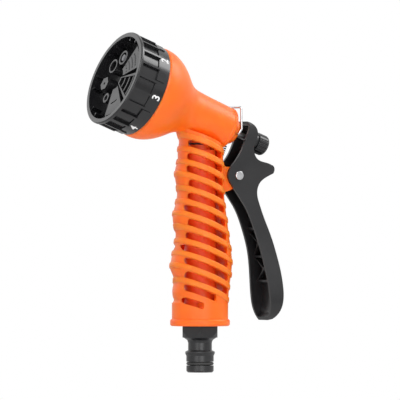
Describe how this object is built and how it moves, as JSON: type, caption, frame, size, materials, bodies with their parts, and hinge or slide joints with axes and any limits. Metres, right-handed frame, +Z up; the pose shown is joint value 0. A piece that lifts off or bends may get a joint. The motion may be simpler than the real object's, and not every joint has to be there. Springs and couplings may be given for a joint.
{
  "type": "hose spray nozzle",
  "caption": "Pistol-grip garden hose spray nozzle with a turning pattern dial, a rear squeeze lever, a flow knob, a slotted hand grip and a click-fit hose inlet.",
  "frame": {"origin": "centre of the hose inlet's tip", "axes": "+Z up along the grip, the spray leaves towards -X and upwards, +Y across the grip"},
  "size_m": [0.1134, 0.056, 0.1938],
  "materials": {
    "orange": "satin moulded",
    "black": "satin moulded",
    "white_plastic": "moulded",
    "grey_plastic": "moulded",
    "rubber": "smooth",
    "steel": "drawn",
    "bright_steel": "bright",
    "brass": "turned"
  },
  "bodies": {
    "body": {"body_shell": "orange", "front_plate": "black", "plate_o_ring": "rubber", "water_tube": "orange", "tube_o_rings": "rubber", "inlet_nipple": "black", "nipple_o_ring": "rubber", "inlet_washer": "rubber", "valve_seat": "white_plastic", "spring_washer": "steel", "gland_nut": "orange", "gland_o_ring": "rubber", "face_seal": "rubber", "face_seal_spring": "steel", "detent_pin": "white_plastic", "detent_spring": "steel", "dial_screw": "steel", "dial_washer": "steel", "pivot_pin": "bright_steel", "pivot_cap": "bright_steel", "return_spring": "bright_steel"},
    "lever": {"trigger_lever": "black"},
    "bail": {"lock_clip": "bright_steel"},
    "stem": {"valve_stem": "steel", "valve_plunger": "white_plastic", "plunger_seal": "rubber", "plunger_nut": "brass", "stem_spring": "steel"},
    "washer": {"wear_washer": "white_plastic"},
    "knob": {"flow_knob": "black", "knob_insert": "brass"},
    "dial": {"dial_shell": "black", "dial_face": "black", "dial_back_plate": "black", "shower_plate": "black", "mist_pin": "grey_plastic", "jet_insert": "black", "cone_insert": "grey_plastic"}
  },
  "joints": [
    {"name": "lever_pivot", "type": "hinge", "parent": "body", "child": "lever", "pos_m": [0.0213, 0, 0.1125], "axis": [0, 1, 0], "range_deg": [0, 15], "stiffness_Nm_per_rad": 0.6, "springref_deg": -6.88, "deforming": ["return_spring"]},
    {"name": "stem_slide", "type": "slide", "parent": "body", "child": "stem", "axis": [0.9285, 0, -0.3714], "range_m": [0, 0.0066], "deforming": ["stem_spring"]},
    {"name": "knob_travel", "type": "slide", "parent": "stem", "child": "washer", "axis": [0.9285, 0, -0.3714], "range_m": [0, 0.002]},
    {"name": "knob_turn", "type": "hinge", "parent": "washer", "child": "knob", "pos_m": [0.03715, 0, 0.13106], "axis": [0.9285, 0, -0.3714], "range_deg": [0, 720]},
    {"name": "dial_turn", "type": "hinge", "parent": "body", "child": "dial", "pos_m": [-0.0362, 0, 0.1604], "axis": [-0.9285, 0, 0.3714], "continuous": true},
    {"name": "bail_pivot", "type": "hinge", "parent": "body", "child": "bail", "pos_m": [0.01981, 0, 0.13617], "axis": [0, 1, 0], "range_deg": [0, 40]}
  ],
  "couplings": [
    {"joint": "stem_slide", "follows": "lever_pivot", "m_per_rad": 0.0246},
    {"joint": "knob_turn", "follows": "knob_travel", "rad_per_m": 6283.2}
  ]
}
